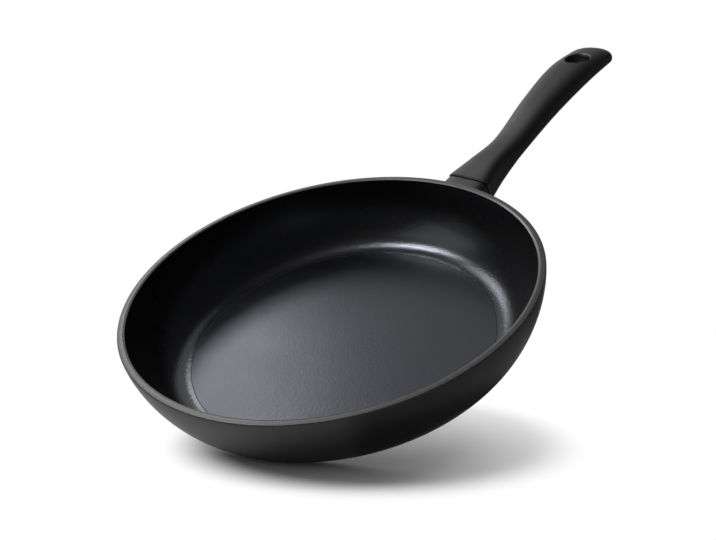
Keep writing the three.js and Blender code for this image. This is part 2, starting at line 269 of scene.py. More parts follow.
@dataclass(frozen=True)
class Finish:
    """A surface finish: colour, gloss and fine relief.

    A turning pitch of 0 leaves the lathe's rings out.
    """

    name: str
    colour: Colour
    fleck_colour: Colour
    fleck_share: float
    sheen_low: float
    sheen_high: float
    grain_size: float
    grain_height: float
    marks_size: float = 0.06
    metallic: float = 0.0
    specular: float = 0.5
    specular_tint: Colour = (1.0, 1.0, 1.0)
    coat: float = 0.0
    coat_roughness: float = 0.1
    turning_pitch: float = 0.0
    turning_height: float = 0.0

    def material(self, effects: Effects) -> Material:
        """Builds the material.

        Args:
            effects: The shared node groups.

        Returns:
            The material.
        """
        material = bpy.data.materials.new(self.name)
        material.use_nodes = True
        graph = Graph(material.node_tree)
        output = graph.add("OutputMaterial")
        shader = graph.add("BsdfPrincipled")
        graph.join(shader.outputs[0], output.inputs["Surface"])
        shader.inputs["Metallic"].default_value = self.metallic
        shader.inputs["Specular IOR Level"].default_value = self.specular
        shader.inputs["Specular Tint"].default_value = (*self.specular_tint, 1.0)
        shader.inputs["Coat Weight"].default_value = self.coat
        shader.inputs["Coat Roughness"].default_value = self.coat_roughness

        grain = graph.add("Group", node_tree=effects.grain)
        grain.inputs["Scale"].default_value = 1.0 / self.grain_size
        grain.inputs["Fleck Share"].default_value = self.fleck_share
        marks = graph.add("Group", node_tree=effects.handling)
        marks.inputs["Scale"].default_value = 1.0 / self.marks_size
        colour = graph.tint(grain.outputs["Fleck"], self.colour, self.fleck_colour)
        relief = graph.add("Bump")
        relief.inputs["Distance"].default_value = self.grain_height
        graph.join(grain.outputs["Height"], relief.inputs["Height"])
        normal = relief.outputs[0]
        if self.turning_pitch > 0.0:
            turning = graph.add("Group", node_tree=effects.turning)
            turning.inputs["Rings Per Metre"].default_value = 1.0 / self.turning_pitch
            rings = graph.add("Bump")
            rings.inputs["Distance"].default_value = self.turning_height
            graph.join(turning.outputs["Height"], rings.inputs["Height"])
            graph.join(normal, rings.inputs["Normal"])
            normal = rings.outputs[0]
        graph.join(colour, shader.inputs["Base Color"])
        roughness = graph.between(marks.outputs["Marks"], self.sheen_low, self.sheen_high)
        graph.join(roughness, shader.inputs["Roughness"])
        graph.join(normal, shader.inputs["Normal"])
        graph.join(normal, shader.inputs["Coat Normal"])
        return material


COATING_WALL = Finish(
    name="non_stick_wall", colour=(0.0014, 0.0014, 0.002),
    fleck_colour=(0.004, 0.004, 0.005), fleck_share=0.1,
    sheen_low=0.18, sheen_high=0.2, grain_size=1.2 * MM, grain_height=0.14 * MM,
    specular_tint=(0.78, 0.84, 1.0), coat=0.3, coat_roughness=0.5)
COATING_FLOOR = replace(
    COATING_WALL, name="non_stick_floor", sheen_low=0.3, sheen_high=0.34,
    grain_size=1.9 * MM, grain_height=0.085 * MM, specular=0.6, coat=0.0)
COATING_OUTSIDE = Finish(
    name="outer_lacquer", colour=(0.0018, 0.0018, 0.0018),
    fleck_colour=(0.004, 0.004, 0.004), fleck_share=0.1,
    sheen_low=0.46, sheen_high=0.54, grain_size=0.8 * MM, grain_height=0.012 * MM)
RIM_GROUND = Finish(
    name="ground_rim", colour=(0.014, 0.014, 0.014),
    fleck_colour=(0.03, 0.03, 0.03), fleck_share=0.15,
    sheen_low=0.34, sheen_high=0.4, grain_size=0.6 * MM, grain_height=0.006 * MM, specular=0.6)
RIM_BEVEL = replace(RIM_GROUND, name="ground_bevel", sheen_low=0.28, sheen_high=0.32, specular=0.65)
PHENOLIC = Finish(
    name="moulded_phenolic", colour=(0.0025, 0.0025, 0.0026),
    fleck_colour=(0.004, 0.004, 0.004), fleck_share=0.2,
    sheen_low=0.42, sheen_high=0.5, grain_size=0.7 * MM, grain_height=0.012 * MM, specular=0.6)
GUARD_LACQUER = replace(
    PHENOLIC, name="guard_lacquer", fleck_share=0.15, sheen_low=0.4, sheen_high=0.46, specular=0.58)
DISC_STEEL = Finish(
    name="turned_steel", colour=(0.46, 0.455, 0.45),
    fleck_colour=(0.36, 0.355, 0.35), fleck_share=0.12,
    sheen_low=0.26, sheen_high=0.36, grain_size=0.5 * MM, grain_height=0.003 * MM, metallic=1.0,
    turning_pitch=0.5 * MM, turning_height=0.012 * MM)
BARE_ALUMINIUM = Finish(
    name="bare_aluminium", colour=(0.62, 0.63, 0.64),
    fleck_colour=(0.5, 0.5, 0.51), fleck_share=0.15,
    sheen_low=0.34, sheen_high=0.46, grain_size=0.5 * MM, grain_height=0.006 * MM, metallic=1.0)
FASTENER_STEEL = Finish(
    name="zinc_plated_steel", colour=(0.5, 0.5, 0.51),
    fleck_colour=(0.42, 0.42, 0.43), fleck_share=0.2,
    sheen_low=0.28, sheen_high=0.38, grain_size=0.4 * MM, grain_height=0.003 * MM, metallic=1.0)


def link(name: str, data: ID) -> Object:
    """Puts a mesh, lamp or camera in the scene as an object at the origin.

    Args:
        name: The object's name.
        data: The mesh, lamp or camera.

    Returns:
        The object.
    """
    piece = bpy.data.objects.new(name, data)
    bpy.context.scene.collection.objects.link(piece)
    return piece


def to_object(shape: BMesh, name: str) -> Object:
    """Makes an object of a bmesh as it is.

    Args:
        shape: The bmesh, freed here.
        name: The object's name.

    Returns:
        The object.
    """
    mesh = bpy.data.meshes.new(name)
    shape.to_mesh(mesh)
    shape.free()
    return link(name, mesh)


def clean(shape: BMesh) -> None:
    """Merges doubles and turns faces outwards."""
    bmesh.ops.remove_doubles(shape, verts=shape.verts, dist=WELD)
    bmesh.ops.recalc_face_normals(shape, faces=shape.faces)


def settle(shape: BMesh, name: str) -> Object:
    """Cleans a bmesh and makes an object of it."""
    clean(shape)
    return to_object(shape, name)


def smooth(piece: Object, crease: float) -> None:
    """Shades a piece smoothly, with edges sharper than crease degrees kept."""
    piece.data.shade_smooth()
    piece.data.set_sharp_from_angle(angle=math.radians(crease))


def carve(piece: Object, cutter: Object) -> None:
    """Cuts a shape out of a piece and throws the cutter away.

    Args:
        piece: The piece, whose mesh is replaced.
        cutter: A closed shape.
    """
    cut = piece.modifiers.new("cut", "BOOLEAN")
    cut.operation = "DIFFERENCE"
    cut.solver = "EXACT"
    cut.object = cutter
    depsgraph = bpy.context.evaluated_depsgraph_get()
    piece.data = bpy.data.meshes.new_from_object(piece.evaluated_get(depsgraph))
    piece.modifiers.clear()
    bpy.data.objects.remove(cutter)


def spun(profile: Iterable[Point], steps: int) -> BMesh:
    """Turns an open profile of (radius, height) points about Z.

    Args:
        profile: The points, in order.
        steps: Steps in a full turn.

    Returns:
        The bmesh.
    """
    shape = bmesh.new()
    wire = [shape.verts.new((radius, 0.0, height)) for radius, height in profile]
    edges = [shape.edges.new(pair) for pair in zip(wire, wire[1:])]
    bmesh.ops.spin(shape, geom=wire + edges, cent=(0, 0, 0), axis=(0, 0, 1), angle=math.tau,
                   steps=steps, use_merge=True)
    clean(shape)
    return shape


def moulded(name: str, form: "HandleForm | FlameGuard", matrix: Matrix, cutter: Object) -> Object:
    """Wraps a grid into a closed tube with filled ends, places it and cuts it.

    Args:
        name: The piece's name.
        form: Has the steps along and round the tube, and says where each point goes.
        matrix: From the form's frame to the pan's.
        cutter: The shape cut out of it.

    Returns:
        The piece.
    """
    half = 0.5
    shape = bmesh.new()
    bmesh.ops.create_grid(shape, x_segments=form.rings, y_segments=form.sides, size=half)
    for vertex in shape.verts:
        vertex.co = form.skin_point(vertex.co.x + half, (vertex.co.y + half) * math.tau)
    bmesh.ops.remove_doubles(shape, verts=shape.verts, dist=WELD)
    bmesh.ops.holes_fill(shape, edges=[edge for edge in shape.edges if edge.is_boundary], sides=0)
    bmesh.ops.transform(shape, matrix=matrix, verts=shape.verts)
    piece = settle(shape, name)
    carve(piece, cutter)
    smooth(piece, MOULDED_CREASE)
    return piece


def swept_wall(start: Point, end: Point, power: float, steps: int) -> list[Point]:
    """A quarter of a superellipse: flat at its start, upright at its end.

    Args:
        start: Its (radius, height) where it leaves the flat.
        end: Its (radius, height) where it stands upright.
        power: The superellipse's power.
        steps: Steps along it.

    Returns:
        The points.
    """
    points = []
    for step in range(steps + 1):
        angle = step / steps * math.pi / 2
        across = math.sin(angle) ** (2 / power)
        up = 1 - max(math.cos(angle), 0.0) ** (2 / power)
        points.append((start[0] + (end[0] - start[0]) * across, start[1] + (end[1] - start[1]) * up))
    return points


def arc(centre: Point, radius: float, first: float, last: float, steps: int) -> list[Point]:
    """Points on an arc, from its first angle to its last, in degrees."""
    angles = [math.radians(first + (last - first) * step / steps) for step in range(steps + 1)]
    return [(centre[0] + radius * math.cos(a), centre[1] + radius * math.sin(a)) for a in angles]


def fit(piece: Object, node: str, slot: Slot, *materials: Material) -> None:
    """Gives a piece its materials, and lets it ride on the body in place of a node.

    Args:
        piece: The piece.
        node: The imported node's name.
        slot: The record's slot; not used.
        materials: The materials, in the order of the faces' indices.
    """
    for material in materials:
        piece.data.materials.append(material)
    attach(piece, BODY)
    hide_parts(node)
    LOG.info("%s replaces %s: %d faces", piece.name, node, len(piece.data.polygons))


@dataclass
class PanBody:
    """The pressed and coated body."""

    rim_radius: float
    height: float
    base_radius: float = 107 * MM
    floor_inset: float = 1.5 * MM
    floor_thickness: float = 4.6 * MM
    rim_flat: float = 2.75 * MM
    rim_round: float = 0.7 * MM
    rim_bevel_width: float = 1.35 * MM
    rim_bevel_height: float = 0.57 * MM
    outer_power: float = 1.7
    inner_power: float = 2.0
    bead_width: float = 1.4 * MM
    bead_height: float = 0.05 * MM
    edge_round: float = 0.3 * MM
    floor_rings: tuple[float, ...] = (0.66, 0.33)
    spin_steps: int = 216
    wall_steps: int = 40
    round_steps: int = 6
    edge_steps: int = 4
    bead_steps: int = 8

    @classmethod
    def from_frame(cls) -> "PanBody":
        """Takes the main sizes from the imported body."""
        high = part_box("pan_body")[1]
        return cls(rim_radius=high.y, height=high.z)

    def outer_side(self, offset: float = 0.0) -> list[Point]:
        """The outer side's profile.

        Args:
            offset: How far it is grown.

        Returns:
            The points, from the foot up.
        """
        foot = (self.base_radius + offset, -offset)
        shoulder = (self.rim_radius + offset, self.height - self.rim_round)
        return swept_wall(foot, shoulder, self.outer_power, self.wall_steps)

    def inner_side(self) -> list[Point]:
        """The inner side's profile, from the floor's edge to the rim's bevel."""
        edge = (self.floor_radius, self.floor_thickness)
        return swept_wall(edge, self.lip, self.inner_power, self.wall_steps)

    def bead(self) -> list[Point]:
        """The fine raised line round the floor's edge.

        Returns:
            The points, from the wall inwards.
        """
        points = []
        for step in range(1, self.bead_steps + 1):
            t = step / self.bead_steps
            rise = self.bead_height * (1 - math.cos(math.tau * t)) / 2
            points.append((self.floor_radius - self.bead_width * t, self.floor_thickness + rise))
        return points

    @property
    def floor_radius(self) -> float:
        """Radius of the flat floor inside."""
        return self.base_radius - self.floor_inset

    @property
    def lip(self) -> Point:
        """Where the rim's bevel meets the inner wall, as (radius, height)."""
        return self.flat_inside - self.rim_bevel_width, self.height - self.rim_bevel_height

    @property
    def flat_inside(self) -> float:
        """Radius of the rim's flat at its inner edge."""
        return self.rim_radius - self.rim_round - self.rim_flat

    @property
    def bevel_tilt(self) -> float:
        """How far the rim's bevel leans inwards from level, in degrees."""
        return math.degrees(math.atan2(self.rim_bevel_height, self.rim_bevel_width))

    def profile(self, recess_radius: float, recess_depth: float) -> list[Point]:
        """The whole section, from the recess for the disc round to the floor's middle.

        Args:
            recess_radius: The recess's radius.
            recess_depth: The recess's depth.

        Returns:
            The points.
        """
        shoulder = (self.rim_radius - self.rim_round, self.height - self.rim_round)
        ease = self.edge_round
        corner = (self.flat_inside, self.height - ease)
        return [
            (0.0, recess_depth), (recess_radius, recess_depth),
            *arc((recess_radius + ease, ease), ease, 180, 270, self.edge_steps),
            *self.outer_side(),
            *arc(shoulder, self.rim_round, 0, 90, self.round_steps)[1:],
            *arc(corner, ease, 90, 90 + self.bevel_tilt, self.edge_steps),
            *reversed(self.inner_side()),
            *self.bead(),
            *((self.base_radius * share, self.floor_thickness) for share in self.floor_rings),
            (0.0, self.floor_thickness),
        ]

    def skin(self, face: BMFace) -> Skin:
        """Which finish a face has.

        Args:
            face: A face of the body.

        Returns:
            The finish's place.
        """
        middle = face.calc_center_median()
        radius = math.hypot(middle.x, middle.y)
        lip_radius, lip_height = self.lip
        if middle.z > lip_height and radius > lip_radius:
            return Skin.RIM if radius > self.flat_inside else Skin.BEVEL
        outward = face.normal.x * middle.x + face.normal.y * middle.y
        if face.normal.z <= 0.0 or outward > WELD:
            return Skin.OUTSIDE
        return Skin.FLOOR if radius < self.floor_radius else Skin.WALL

    def build(self, disc: "InductionDisc") -> Object:
        """Makes the body, with its aluminium showing through the disc's perforations.

        Args:
            disc: The disc pressed into the underside.

        Returns:
            The body.
        """
        shape = spun(self.profile(disc.radius + SEAT_GAP, disc.thickness + SEAT_GAP), self.spin_steps)
        for face in shape.faces:
            face.material_index = self.skin(face).value
        body_faces = set(shape.faces)
        for place in disc.perforations():
            disc.stud(shape, place)
        for face in shape.faces:
            if face not in body_faces:
                face.material_index = Skin.STUDS.value
        piece = settle(shape, "coated_body")
        smooth(piece, TURNED_CREASE)
        return piece

    @staticmethod
    def dress(piece: Object, effects: Effects, aluminium: Material) -> None:
        """Gives the body its materials, in the order of Skin, and its place.

        Args:
            piece: The body.
            effects: The shared node groups.
            aluminium: The studs' material.
        """
        finishes = (COATING_WALL, COATING_FLOOR, COATING_OUTSIDE, RIM_GROUND)
        skins = [finish.material(effects) for finish in finishes]
        bevel = RIM_BEVEL.material(effects)
        fit(piece, "pan_body", Slot.COATING, *skins, aluminium, bevel)


@dataclass
class InductionDisc:
    """The steel disc in the underside, with the body's aluminium pressed through its holes."""

    radius: float
    thickness: float
    hole_radius: float = 2.3 * MM
    hole_sides: int = 20
    rings: int = 4
    first_ring: float = 22 * MM
    ring_step: float = 18 * MM
    pitch: float = 18 * MM
    stud_gap: float = 0.05 * MM
    stud_sink: float = 0.06 * MM
    sides: int = 144
    edge_steps: int = 3

    @classmethod
    def from_frame(cls) -> "InductionDisc":
        """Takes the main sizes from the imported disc."""
        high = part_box("induction_disc")[1]
        return cls(radius=high.x, thickness=high.z)

    def perforations(self) -> list[Vector]:
        """Where the holes lie.

        Returns:
            Their middles.
        """
        places = []
        for ring in range(self.rings):
            radius = self.first_ring + ring * self.ring_step
            count = round(math.tau * radius / self.pitch)
            for step in range(count):
                turn = Matrix.Rotation(math.tau * step / count, 3, "Z")
                places.append(turn @ Vector((radius, 0, 0)))
        return places

    def plug(self, shape: BMesh, place: Vector, radius: float, low: float, high: float) -> None:
        """Adds a round plug between two heights."""
        middle = Matrix.Translation((place.x, place.y, (low + high) / 2))
        bmesh.ops.create_cone(shape, cap_ends=True, segments=self.hole_sides, radius1=radius,
                              radius2=radius, depth=high - low, matrix=middle)

    def stud(self, shape: BMesh, place: Vector) -> None:
        """Adds the aluminium that fills a hole, a hair below the steel."""
        self.plug(shape, place, self.hole_radius - self.stud_gap, self.stud_sink, self.thickness)

    def build(self) -> Object:
        """Makes the perforated disc.

        Returns:
            The disc.
        """
        ease = SEAT_GAP
        edge = arc((self.radius - ease, ease), ease, -90, 0, self.edge_steps)
        profile = [(0.0, 0.0), *edge, (self.radius, self.thickness), (0.0, self.thickness)]
        piece = settle(spun(profile, self.sides), "perforated_disc")
        holes = bmesh.new()
        for place in self.perforations():
            self.plug(holes, place, self.hole_radius, -self.thickness, 2 * self.thickness)
        carve(piece, settle(holes, "holes"))
        smooth(piece, TURNED_CREASE)
        return piece

    @staticmethod
    def dress(piece: Object, effects: Effects) -> None:
        """Gives the disc its turned steel and its place."""
        fit(piece, "induction_disc", Slot.DISC, DISC_STEEL.material(effects))


@dataclass
class Section:
    """A section of the handle, square to its axis."""

    at: float
    width: float
    thickness: float
    lift: float


@dataclass
class HandleForm:
    """The moulded handle, in its own frame: origin on the seam, +X along the axis."""

    rim_radius: float
    pan_height: float
    neck_reach: float = 15 * MM
    axis_drop: float = 11.7 * MM
    rise: float = math.radians(13.2)
    length: float = 196 * MM
    grip_from_tip: float = 45 * MM
    seam_power: float = 4.8
    grip_power: float = 2.7
    power_fade: float = 59 * MM
    seam_edge: float = 0.8 * MM
    tip_round: float = 13 * MM
    tip_share: float = 0.14
    tip_power: float = 3.0
    tip_least_thickness: float = 0.6
    hole_radius: float = 9.7 * MM
    hole_from_tip: float = 31 * MM
    mouth_radius: float = 13.2 * MM
    cut_past: float = 5 * MM
    hole_sides: int = 96
    mouth_steps: int = 10
    rings: int = 240
    sides: int = 144

    @property
    def matrix(self) -> Matrix:
        """From the handle's frame to the pan's."""
        seam = (self.rim_radius + self.neck_reach, 0, self.pan_height - self.axis_drop)
        return Matrix.Translation(seam) @ Matrix.Rotation(-self.rise, 4, "Y")

    @property
    def stations(self) -> list[Section]:
        """The sections that shape the handle: seam, neck, waist, palm, grip and tip.

        Returns:
            The sections, in order.
        """
        neck_at = 24 * MM
        waist_at = 55 * MM
        grip_at = self.length - self.grip_from_tip
        palm_at = (waist_at + grip_at) / 2
        return [
            Section(at=0.0, width=38 * MM, thickness=21 * MM, lift=0.5 * MM),
            Section(at=neck_at, width=29 * MM, thickness=21 * MM, lift=-0.5 * MM),
            Section(at=waist_at, width=27 * MM, thickness=16.5 * MM, lift=-1.5 * MM),
            Section(at=palm_at, width=32 * MM, thickness=18.5 * MM, lift=1.9 * MM),
            Section(at=grip_at, width=38.2 * MM, thickness=17.6 * MM, lift=0.9 * MM),
            Section(at=self.length, width=37 * MM, thickness=12.5 * MM, lift=-7.5 * MM),
        ]

    def through(self, name: str, at: float) -> float:
        """A smooth curve through one size of the stations.

        Args:
            name: The size's field.
            at: The distance from the seam.

        Returns:
            The size there.
        """
        stations = self.stations
        last = len(stations) - 1
        value = [getattr(station, name) for station in stations]

        def slope(i: int) -> float:
            """The curve's slope at a station, from its neighbours."""
            before, after = max(i - 1, 0), min(i + 1, last)
            return (value[after] - value[before]) / (stations[after].at - stations[before].at)

        k = max(i for i in range(last) if stations[i].at <= max(at, 0.0))
        span = stations[k + 1].at - stations[k].at
        t = (at - stations[k].at) / span
        rise = slope(k) * span * t * (1 - t) ** 2 - slope(k + 1) * span * t ** 2 * (1 - t)
        return value[k] + (value[k + 1] - value[k]) * t * t * (3 - 2 * t) + rise

    def section(self, at: float) -> Section:
        """The handle's section at a distance from the seam, before its end is rounded."""
        return Section(at, *(self.through(name, at) for name in ("width", "thickness", "lift")))

    def power(self, at: float) -> float:
        """The superellipse's power: squarer at the seam than in the hand."""
        t = min(max(at / self.power_fade, 0.0), 1.0)
        return self.seam_power + (self.grip_power - self.seam_power) * t * t * (3 - 2 * t)

    @staticmethod
    def on_ring(section: Section, power: float, angle: float) -> Vector:
        """A point of a superellipse square to X.

        Args:
            section: Its place and sizes.
            power: The superellipse's power.
            angle: The point's angle round it.

        Returns:
            The point.
        """
        def along(v: float) -> float:
            """A signed power."""
            return math.copysign(abs(v) ** (2 / power), v)

        y = section.width / 2 * along(math.cos(angle))
        z = section.lift + section.thickness / 2 * along(math.sin(angle))
        return Vector((section.at, y, z))

    def face(self, at: float, side: int) -> float:
        """Height of the upper or lower face on the handle's middle line."""
        section = self.section(at)
        return section.lift + side * section.thickness / 2

    def skin_point(self, share: float, angle: float) -> Vector:
        """Where a point of the handle's skin lies, in the handle's frame.

        Args:
            share: Its share of the way from seam to tip.
            angle: Its angle round the section.

        Returns:
            The point.
        """
        straight = self.length - self.tip_round
        if share <= 1 - self.tip_share:
            at = straight * share / (1 - self.tip_share)
            section = self.section(at)
            ease = self.seam_edge * max(1 - at / self.seam_edge, 0.0) ** 2
            section.width -= 2 * ease
            section.thickness -= 2 * ease
            return self.on_ring(section, self.power(at), angle)
        turn = (share - 1 + self.tip_share) / self.tip_share * math.pi / 2
        reach = math.sin(turn)
        narrowing = max(1 - reach ** self.tip_power, TINY) ** (1 / self.tip_power)
        section = self.section(straight + reach * self.tip_round)
        section.width *= narrowing
        section.thickness *= self.tip_least_thickness + (1 - self.tip_least_thickness) * narrowing
        return self.on_ring(section, self.power(section.at), angle)

    def hole_cutter(self) -> Object:
        """The hanging hole's shape, with a rounded mouth at each face.

        Returns:
            The cutter.
        """
        at = self.length - self.hole_from_tip
        top, bottom = self.face(at, 1), self.face(at, -1)
        ease = self.mouth_radius - self.hole_radius
        profile = [
            (0.0, bottom - self.cut_past), (self.mouth_radius, bottom - self.cut_past),
            *arc((self.mouth_radius, bottom + ease), ease, 270, 180, self.mouth_steps),
            *arc((self.mouth_radius, top - ease), ease, 180, 90, self.mouth_steps),
            (self.mouth_radius, top + self.cut_past), (0.0, top + self.cut_past),
        ]
        shape = spun(profile, self.hole_sides)
        fall = self.face(at - self.hole_radius, 1) - self.face(at + self.hole_radius, 1)
        tilt = Matrix.Rotation(math.atan2(fall, 2 * self.hole_radius), 4, "Y")
        place = self.matrix @ Matrix.Translation((at, 0, 0)) @ tilt
        bmesh.ops.transform(shape, matrix=place, verts=shape.verts)
        return settle(shape, "hole_cutter")

    def build(self) -> Object:
        """Makes the handle."""
        return moulded("moulded_handle", self, self.matrix, self.hole_cutter())

    @staticmethod
    def dress(piece: Object, effects: Effects) -> None:
        """Gives the handle its moulded skin and its place."""
        fit(piece, "handle", Slot.PHENOLIC, PHENOLIC.material(effects))


@dataclass
class FlameGuard:
    """The lacquered sleeve between the wall and the handle."""

    handle: HandleForm
    pan: PanBody
    inset: float = 1 * MM
    flare: float = 0.12
    edge: float = 0.5 * MM
    raw_reaches: float = 3.0
    rings: int = 60
    sides: int = 144

    def skin_point(self, share: float, angle: float) -> Vector:
        """Where a point of the guard's skin lies, in the handle's frame.

        Args:
            share: Its share of the way from the seam into the pan.
            angle: Its angle round the section.

        Returns:
            The point.
        """
        overrun = self.raw_reaches * self.handle.neck_reach
        at = -SEAT_GAP - overrun * share
        seam = self.handle.section(0.0)
        grown = self.flare * overrun * share
        ease = self.edge * max(1 - overrun * share / self.edge, 0.0) ** 2
        shrink = 2 * (self.inset + ease)
        width = seam.width - shrink + grown
        thickness = seam.thickness - shrink + grown
        section = Section(at, width, thickness, seam.lift)
        return self.handle.on_ring(section, self.handle.seam_power, angle)

    def wall_cutter(self) -> Object:
        """The space that the pan fills, with the seat's gap.

        Returns:
            The cutter.
        """
        side = self.pan.outer_side(SEAT_GAP)
        top = self.pan.height * 2
        profile = [(0.0, -SEAT_GAP), *side, (side[-1][0], top), (0.0, top)]
        return settle(spun(profile, self.pan.spin_steps), "wall_cutter")

    def build(self) -> Object:
        """Makes the guard."""
        return moulded("neck_guard", self, self.handle.matrix, self.wall_cutter())

    @staticmethod
    def dress(piece: Object, effects: Effects) -> None:
        """Gives the guard its lacquer and its place."""
        fit(piece, "flame_guard", Slot.GUARD, GUARD_LACQUER.material(effects))


@dataclass
class PhotoCamera:
    """The camera that took the photograph, found from the rim, the floor's edge and the handle."""

    pan_height: float
    image_width: float = 716.0
    image_height: float = 540.0
    focal_pixels: float = 850.0
    rim_middle_pixel: Point = (327.73, 276.22)
    distance: float = 556.23 * MM
    elevation: float = math.radians(31.52)
    roll: float = math.radians(-12.02)
    handle_heading: float = math.radians(41.0)
    sensor: float = 36.0

    def axes(self) -> tuple[Vector, Vector, Vector]:
        """The camera's directions in the pan's frame.

        Returns:
            Right, up and forward.
        """
        forward = Vector((0, math.cos(self.elevation), -math.sin(self.elevation)))
        level_up = Vector((0, math.sin(self.elevation), math.cos(self.elevation)))
        level_right = Vector((1, 0, 0))
        right = math.cos(self.roll) * level_right + math.sin(self.roll) * level_up
        up = math.cos(self.roll) * level_up - math.sin(self.roll) * level_right
        to_pan = Matrix.Rotation(-self.handle_heading, 3, "Z")
        return to_pan @ right, to_pan @ up, to_pan @ forward

    def build(self) -> Object:
        """Makes the camera and sets it as the scene's.

        Returns:
            The camera.
        """
        right, up, forward = self.axes()
        across = (self.rim_middle_pixel[0] - self.image_width / 2) / self.focal_pixels
        down = (self.rim_middle_pixel[1] - self.image_height / 2) / self.focal_pixels
        rim = Vector((0, 0, self.pan_height))
        eye = rim - self.distance * (forward + across * right - down * up)
        lens = bpy.data.cameras.new("photo_camera")
        lens.sensor_width = self.sensor
        lens.lens = self.focal_pixels / self.image_width * self.sensor
        camera = link("photo_camera", lens)
        turn = Matrix((right, up, -forward)).transposed().to_4x4()
        camera.matrix_world = Matrix.Translation(eye) @ turn
        bpy.context.scene.camera = camera
        return camera


@dataclass(frozen=True)
class Softbox:
    """A soft lamp that faces the pan; its sizes are shares of its distance."""

    name: str
    heading: float
    elevation: float
    width: float
    height: float
    radiance: float
    in_gloss: bool = True
    in_diffuse: bool = False
    distance: float = 2.2

    def build(self, toward: Callable[[float, float], Vector]) -> Object:
        """Makes the lamp.

        Args:
            toward: Gives a direction from a heading and an elevation.

        Returns:
            The lamp.
        """
        back = toward(self.heading, self.elevation)
        across = toward(self.heading + 90, 0.0)
        lamp = bpy.data.lights.new(self.name, "AREA")
        lamp.shape = "RECTANGLE"
        lamp.size = self.width * self.distance
        lamp.size_y = self.height * self.distance
        lamp.energy = math.pi * lamp.size * lamp.size_y * self.radiance
        light = link(self.name, lamp)
        turn = Matrix((across, back.cross(across), back)).transposed().to_4x4()
        light.matrix_world = Matrix.Translation(back * self.distance) @ turn
        light.visible_camera = False
        light.visible_glossy = self.in_gloss
        light.visible_diffuse = self.in_diffuse
        return light


SOFTBOXES = (
    Softbox("top_softbox", heading=137.0, elevation=61.5, width=0.13, height=0.24, radiance=52.0),
    Softbox("back_softbox", heading=109.0, elevation=36.2, width=0.32, height=0.22, radiance=6.5,
            distance=1.6),
    Softbox("backdrop_glow", heading=92.0, elevation=31.0, width=0.68, height=0.7, radiance=0.85),
    Softbox("left_glow", heading=180.0, elevation=37.0, width=0.65, height=0.65, radiance=1.1),
    Softbox("shadow_softbox", heading=72.0, elevation=25.0, width=1.7, height=1.7, radiance=2.1,
            in_gloss=False, in_diffuse=True),
)


